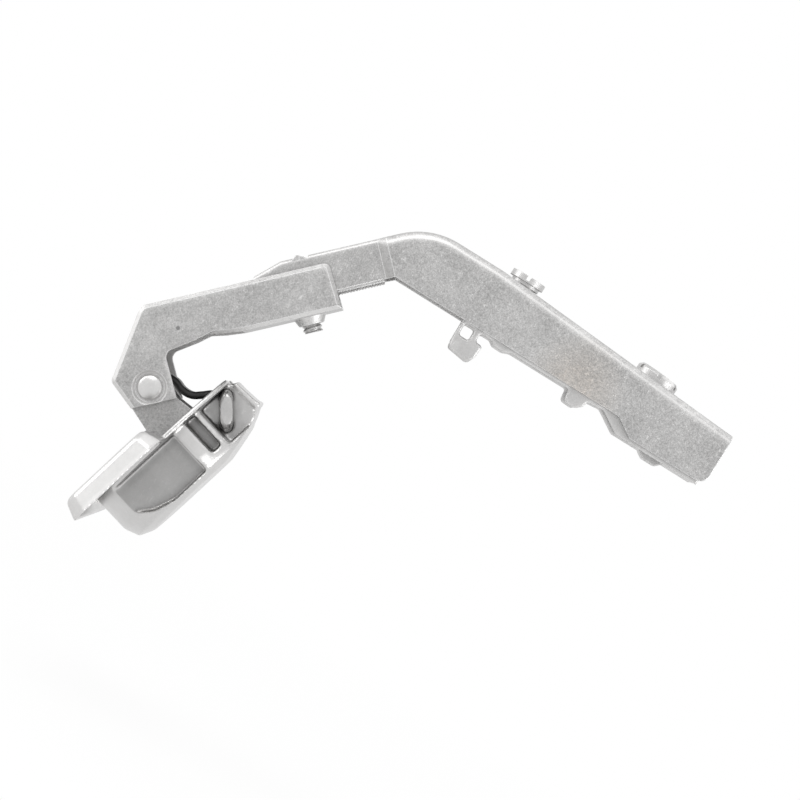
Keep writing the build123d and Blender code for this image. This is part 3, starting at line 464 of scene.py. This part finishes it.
def rivetProfile(head, tailEnd):
    tailRadius = head["tailRadius"]
    tailTop = tailEnd + head["tail"]
    brim = head["dish"] - head["brim"]
    inner = [(0, tailEnd), (tailRadius - head["edge"], tailEnd), (tailRadius, tailEnd + head["edge"]),
             (tailRadius, tailTop), (head["shank"], tailTop), (head["shank"], brim),
             (head["domeRadius"], brim)]
    turns = [math.pi / 2 * k / head["domeSteps"] for k in range(head["domeSteps"] + 1)]
    dome = [(head["domeRadius"] * math.cos(a), head["dish"] + head["domeRise"] * math.sin(a)) for a in turns]
    return inner + dome[:-1] + [(0, dome[-1][1])]


def turnRivet(node, outward):
    low, high = (Vector(corner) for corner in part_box(node))
    tailEnd = min(abs(low.y), abs(high.y))
    base = ((low.x + high.x) / 2, 0, (low.z + high.z) / 2)
    profile = rivetProfile(rivetHead, tailEnd)
    mesh = turnedMesh(node + "Head", profile, base, (0, outward, 0), rivetHead["steps"])
    addPiece(node + "Head", mesh, node)


turnRivet("rivet_near", -1)
turnRivet("rivet_far", 1)
print("rivets turned")

# Round wire and flat strip, bent along a curve that is drawn in the hinge's side plane
bending = {"steps": 12, "ring": 6}
ontoSide = Matrix(((1, 0, 0, 0), (0, 0, -1, 0), (0, 1, 0, 0), (0, 0, 0, 1)))  # stands the drawing upright


def bentMesh(name, knots, bevel, extrude=0.0, dimensions="3D"):
    curve = bpy.data.curves.new(name, "CURVE")
    curve.dimensions = dimensions
    curve.resolution_u = bending["steps"]
    curve.bevel_depth = bevel
    curve.bevel_resolution = bending["ring"]
    curve.extrude = extrude
    curve.use_fill_caps = True
    spline = curve.splines.new("BEZIER")
    spline.bezier_points.add(len(knots) - 1)
    for knot, (across, along, height, full) in zip(spline.bezier_points, knots):
        knot.co = (across, along, height)
        knot.handle_left_type = knot.handle_right_type = "AUTO"
        knot.radius = full
    mesh = evaluatedMesh(setOut(name, curve), name)
    mesh.transform(ontoSide)
    shell = bmesh.new()
    shell.from_mesh(mesh)
    bmesh.ops.remove_doubles(shell, verts=shell.verts, dist=joinGap)
    bmesh.ops.recalc_face_normals(shell, faces=shell.faces)
    shell.to_mesh(mesh)
    shell.free()
    smoothFaces(mesh)
    return mesh


# Cup pin: one wire bent like a staple, its bridge rubbed flat outside the pocket
staple = {
    "shallow": (-34.455 * mm, -32.474 * mm), "deep": (-31.443 * mm, -37.267 * mm), "wire": 1.2 * mm,
    "far": 7.6 * mm, "bridge": 7.98 * mm, "bend": 1.1 * mm, "bendShort": 0.9, "full": 1.12, "flat": 9.0 * mm,
}


def stapleMesh():
    first = Vector(staple["shallow"])
    last = Vector(staple["deep"])
    along = (last - first).normalized() * staple["bend"] * staple["bendShort"]
    knee = staple["bridge"] - staple["bend"]
    knots = [(first, -staple["far"], 1.0), (first, 0.0, 1.0), (first, knee, 1.0),
             (first + along, staple["bridge"], staple["full"]),
             (last - along, staple["bridge"], staple["full"]),
             (last, knee, 1.0), (last, 0.0, 1.0), (last, -staple["far"], 1.0)]
    mesh = bentMesh("cupStaple", [(place.x, place.y, height, full) for place, height, full in knots],
                    staple["wire"])
    for vertex in mesh.vertices:
        vertex.co.y = max(vertex.co.y, -staple["flat"])
    return mesh


addPiece("cupStaple", stapleMesh(), "cup_pin")
print("staple bent")

# Inner link: a dark strip with one slow bow between its eye and its open fork
strip = {
    "bow": ((-49.2, -36.35), (-47.3, -35.75), (-44.4, -35.45), (-42.3, -36.1),  # x and z in millimetres
            (-40.3, -36.0), (-38.7, -35.0), (-37.3, -33.9), (-35.9, -33.1)),
    "sheet": 1.45 * mm, "half": 3.3 * mm, "edge": 0.72 * mm,
    "eye": (-34.455 * mm, 0.0, -32.474 * mm), "eyeRadius": 1.95 * mm, "eyeBore": 1.27 * mm,
    "eyeEdge": 0.2 * mm, "eyeSteps": 48,
    "fork": (-50.58 * mm, 0.0, -36.61 * mm), "forkRadius": 1.9 * mm, "forkBore": 1.08 * mm,
    "forkOpen": 70, "forkSteps": 24,  # half the opening, in degrees
}


def tubeProfile(bore, radius, half, edge):
    return [(bore, -half), (radius - edge, -half), (radius, edge - half), (radius, half - edge),
            (radius - edge, half), (bore, half), (bore, -half)]


def joinedMesh(name, meshes):
    whole = bmesh.new()
    for mesh in meshes:
        whole.from_mesh(mesh)
    return meshOf(name, whole)


def bowMesh():
    knots = [(x * mm, z * mm, 0.0, 1.0) for x, z in strip["bow"]]
    return bentMesh("bow", knots, strip["sheet"] / 2, strip["half"] - strip["edge"], dimensions="2D")


def eyeMesh():
    profile = tubeProfile(strip["eyeBore"], strip["eyeRadius"], strip["half"], strip["eyeEdge"])
    return turnedMesh("eye", profile, strip["eye"], (0, 1, 0), strip["eyeSteps"])


def forkMesh():  # a thick arc, open on the side away from the strip
    middleX, _, middleZ = strip["fork"]
    bowX, bowZ = strip["bow"][0]
    towards = math.atan2(bowZ * mm - middleZ, bowX * mm - middleX)
    opening = math.radians(strip["forkOpen"])
    steps = strip["forkSteps"]
    turns = [towards + opening + (2 * math.pi - 2 * opening) * k / steps + math.pi for k in range(steps + 1)]
    outline = [(strip["forkRadius"], a) for a in turns] + [(strip["forkBore"], a) for a in reversed(turns)]
    count = len(outline)
    shell = bmesh.new()
    rings = [[shell.verts.new((middleX + r * math.cos(a), side * strip["half"], middleZ + r * math.sin(a)))
              for r, a in outline] for side in (-1, 1)]
    for k in range(count):
        shell.faces.new((rings[0][k], rings[0][(k + 1) % count], rings[1][(k + 1) % count], rings[1][k]))
    for ring in rings:
        for k in range(steps):
            shell.faces.new((ring[k], ring[k + 1], ring[count - 2 - k], ring[count - 1 - k]))
    bmesh.ops.recalc_face_normals(shell, faces=shell.faces)
    return meshOf("fork", shell)


addPiece("bowedStrip", joinedMesh("bowedStrip", [bowMesh(), eyeMesh(), forkMesh()]), "inner_link")
print("strip bent")


# What repeats or follows a rule: trees built and run here, and kept as plain meshes
class GrowthTree(NodeMaker):
    def __init__(self, name, inputs):
        super().__init__(bpy.data.node_groups.new(name, "GeometryNodeTree"), "GeometryNode")
        self.ids = {}
        for label, (kind, value) in inputs.items():
            socket = self.tree.interface.new_socket(label, in_out="INPUT", socket_type="NodeSocket" + kind)
            socket.default_value = value
            self.ids[label] = socket.identifier
        self.tree.interface.new_socket("Geometry", in_out="OUTPUT", socket_type="NodeSocketGeometry")
        self.inlet = self.tree.nodes.new("NodeGroupInput")
        self.outlet = self.tree.nodes.new("NodeGroupOutput")

    def given(self, label):
        return Sock(self.tree, self.inlet.outputs[label])

    def ended(self, geometry, material):
        solid = self.node("RealizeInstances", values={"Geometry": geometry})
        dressed = self.node("SetMaterial", values={"Geometry": solid, "Material": material})
        feed(self.tree, self.outlet.inputs[0], dressed)


def grownMesh(name, grow, sizes):
    thing = setOut(name, bpy.data.meshes.new(name + "Seed"))
    modifier = thing.modifiers.new("growth", "NODES")
    modifier.node_group = grow.tree
    for label, value in sizes.items():
        modifier[grow.ids[label]] = value
    return evaluatedMesh(thing, name)


bendAt = (-19.4 * mm, 3.2 * mm)  # x and z where the bent end starts


def onBar(along, up):  # the bent end's own directions, from the bend
    return Vector((bendAt[0] + (along - up) * bendShare, 0.0, bendAt[1] + (along + up) * bendShare))


# Shear marks left along the lower edge of the bent end's walls
shearMarks = {
    "from": -2.4 * mm, "to": -20.0 * mm, "pitch": 0.58 * mm, "radius": 0.36 * mm, "wall": 1.1 * mm,
    "middle": 7.0 * mm, "sunk": -0.12 * mm, "sides": 8,
}


def shearTree():
    grow = GrowthTree("shearRow", {
        "Count": ("Int", 10), "Start": ("Vector", (0, 0, 0)), "Step": ("Vector", (0, 0, 0)),
        "Radius": ("Float", 0.0), "Width": ("Float", 0.0)})
    row = grow.node("MeshLine", settings={"mode": "OFFSET"}, values={
        "Count": grow.given("Count"), "Start Location": grow.given("Start"), "Offset": grow.given("Step")})
    mark = grow.node("MeshCylinder", values={
        "Vertices": shearMarks["sides"], "Radius": grow.given("Radius"), "Depth": grow.given("Width")})
    marks = grow.node("InstanceOnPoints", values={
        "Points": row, "Instance": mark, "Rotation": (math.radians(90), 0.0, 0.0)})  # along the hinge's axis
    grow.ended(marks, finishes[slotOf["main_arm"]])
    return grow


def shearMesh():
    grow = shearTree()
    step = onBar(-shearMarks["pitch"], 0) - onBar(0, 0)
    count = int((shearMarks["from"] - shearMarks["to"]) / shearMarks["pitch"])
    sides = []
    for side in (-1, 1):
        start = onBar(shearMarks["from"], shearMarks["sunk"]) + Vector((0, side * shearMarks["middle"], 0))
        sides.append(grownMesh("shearSide", grow, {
            "Count": count, "Start": start, "Step": step, "Radius": shearMarks["radius"],
            "Width": shearMarks["wall"]}))
    return joinedMesh("shearMarks", sides)


addPiece("shearMarks", shearMesh(), "main_arm", standsIn=False)
print("shear marks made")

# Thread cut into the overlay screw's tip, which shows below the boss
tipThread = {
    "along": -17.4 * mm, "low": -6.75 * mm, "high": -3.55 * mm, "pitch": 0.8 * mm, "radius": 1.90 * mm,
    "ridge": 0.30 * mm, "turnSteps": 40, "ridgeSides": 6, "lean": -45,  # the bent end's lean, in degrees
}


def threadTree():
    grow = GrowthTree("threadTurns", {
        "Turns": ("Float", 2.0), "Radius": ("Float", 0.0), "Height": ("Float", 0.0), "Ridge": ("Float", 0.0),
        "Place": ("Vector", (0, 0, 0))})
    helix = grow.node("CurveSpiral", values={
        "Resolution": tipThread["turnSteps"], "Rotations": grow.given("Turns"),
        "Start Radius": grow.given("Radius"), "End Radius": grow.given("Radius"),
        "Height": grow.given("Height"), "Reverse": True})  # a right-hand thread
    section = grow.node("CurvePrimitiveCircle", values={
        "Resolution": tipThread["ridgeSides"], "Radius": grow.given("Ridge")})
    ridge = grow.node("CurveToMesh", values={"Curve": helix, "Profile Curve": section, "Fill Caps": True})
    stood = grow.node("Transform", values={
        "Geometry": ridge, "Translation": grow.given("Place"),
        "Rotation": (0.0, math.radians(tipThread["lean"]), 0.0)})
    grow.ended(stood, finishes[slotOf["overlay_screw"]])
    return grow


def grooveMesh():
    height = tipThread["high"] - tipThread["low"]
    return grownMesh("tipThread", threadTree(), {
        "Turns": height / tipThread["pitch"], "Radius": tipThread["radius"], "Height": height,
        "Ridge": tipThread["ridge"], "Place": onBar(tipThread["along"], tipThread["low"])})


def threadedMesh():  # the groove stays inside the screw's own cylinder
    thing = mergedCopy("overlay_screw", joinGap)
    cutter = setOut("grooveCutter", grooveMesh())
    cut = thing.modifiers.new("cutting", "BOOLEAN")
    cut.operation = "DIFFERENCE"
    cut.solver = "EXACT"
    cut.object = cutter
    mesh = evaluatedMesh(thing, "threadedScrew")
    bpy.data.objects.remove(cutter)
    smoothFaces(mesh)
    mesh.set_sharp_from_angle(angle=creaseAngle)
    return mesh


threadMesh = threadedMesh()
addPiece("threadedScrew", threadMesh, "overlay_screw")
print("thread cut", len(threadMesh.polygons))

# Camera: the photograph's own side view, rolled as the hinge lies in it
cameraLook = {
    "distance": 600 * mm, "roll": 32.0, "wide": 152.09 * mm, "aim": (-6.36 * mm, -15.9 * mm), "sensor": 36.0,
    "near": 0.01, "far": 20.0,
}


def placeCamera():
    turn = math.radians(cameraLook["roll"])
    right = Vector((math.cos(turn), 0, math.sin(turn)))
    up = Vector((-math.sin(turn), 0, math.cos(turn)))
    back = Vector((0, -1, 0))
    lens = bpy.data.cameras.new("viewLens")
    lens.sensor_width = cameraLook["sensor"]
    lens.lens = cameraLook["sensor"] * cameraLook["distance"] / cameraLook["wide"]
    lens.clip_start = cameraLook["near"]
    lens.clip_end = cameraLook["far"]
    camera = setOut("viewCamera", lens)
    stand = Matrix((right, up, back)).transposed().to_4x4()
    stand.translation = Vector((cameraLook["aim"][0], -cameraLook["distance"], cameraLook["aim"][1]))
    camera.matrix_world = stand
    bpy.context.scene.camera = camera


placeCamera()

# Soft studio light from large panels: place, size and power of each
panelAim = (-0.005, 0, -0.02)
panels = {
    "keyPanel": ((-0.30, -0.35, 0.60), (0.5, 0.5), 1.5),
    "sidePanel": ((-0.62, -0.12, 0.05), (0.3, 0.6), 1.4),
    "fillPanel": ((0.35, 0.25, 0.55), (0.5, 0.5), 0.7),
    "lowPanel": ((0.45, -0.20, -0.04), (0.4, 0.1), 0.65),
}
for name, (place, size, power) in panels.items():
    light = bpy.data.lights.new(name, "AREA")
    light.shape = "RECTANGLE"
    light.size, light.size_y = size
    light.energy = power
    panel = setOut(name, light)
    panel.location = place
    panel.rotation_euler = (Vector(panelAim) - Vector(place)).to_track_quat("-Z", "Y").to_euler()

# Pale floor and surroundings: plain white where the camera sees them, itself or in bright metal
floorLook = {"drop": 30 * mm, "half": 3.0, "colour": 0.92, "rough": 0.9, "shade": 0.14, "fadeFrom": 0.10,
             "fadeTo": 0.45}
worldLook = {"light": 0.75, "seen": 1.0}
pureWhite = (1, 1, 1, 1)


def seenBy(f):  # 1 for what the camera sees, itself or by way of metal or glass
    rays = [f.node("LightPath", out=ray) for ray in ("Is Camera Ray", "Is Glossy Ray", "Is Transmission Ray")]
    return rays[0].most(rays[1]).most(rays[2])


def floorFinish():
    f = Finish("paleFloor")
    f.drive({"Base Color": grey(floorLook["colour"]), "Roughness": floorLook["rough"]})
    glow = f.node("Emission", values={"Color": pureWhite})
    away = measured(f, "LENGTH", f.node("TexCoord", out="Object"))
    faded = (away - floorLook["fadeFrom"]) / (floorLook["fadeTo"] - floorLook["fadeFrom"])
    shade = floorLook["shade"] * (1.0 - faded).held()
    shown = f.node("MixShader", values={0: seenBy(f) * (1.0 - shade), 1: f.surface, 2: glow})
    feed(f.tree, f.outlet.inputs[0], shown)
    return f.material


def layFloor():
    low = cadBox[0][2] - floorLook["drop"]
    half = floorLook["half"]
    mesh = bpy.data.meshes.new("paleFloor")
    mesh.from_pydata([(-half, -half, low), (half, -half, low), (half, half, low), (-half, half, low)], [],
                     [(0, 1, 2, 3)])
    mesh.materials.append(floorFinish())
    setOut("paleFloor", mesh)


def setWorld():
    world = bpy.data.worlds.new("studio")
    bpy.context.scene.world = world
    world.use_nodes = True
    f = NodeMaker(world.node_tree)
    f.tree.nodes.clear()
    soft = f.node("Background", values={"Color": pureWhite, "Strength": worldLook["light"]})
    white = f.node("Background", values={"Color": pureWhite, "Strength": worldLook["seen"]})
    shown = f.node("MixShader", values={0: seenBy(f), 1: soft, 2: white})
    f.node("OutputWorld", values={0: shown}, out=None)


layFloor()
setWorld()
bpy.context.scene.view_settings.view_transform = "Standard"
print("light and camera set")
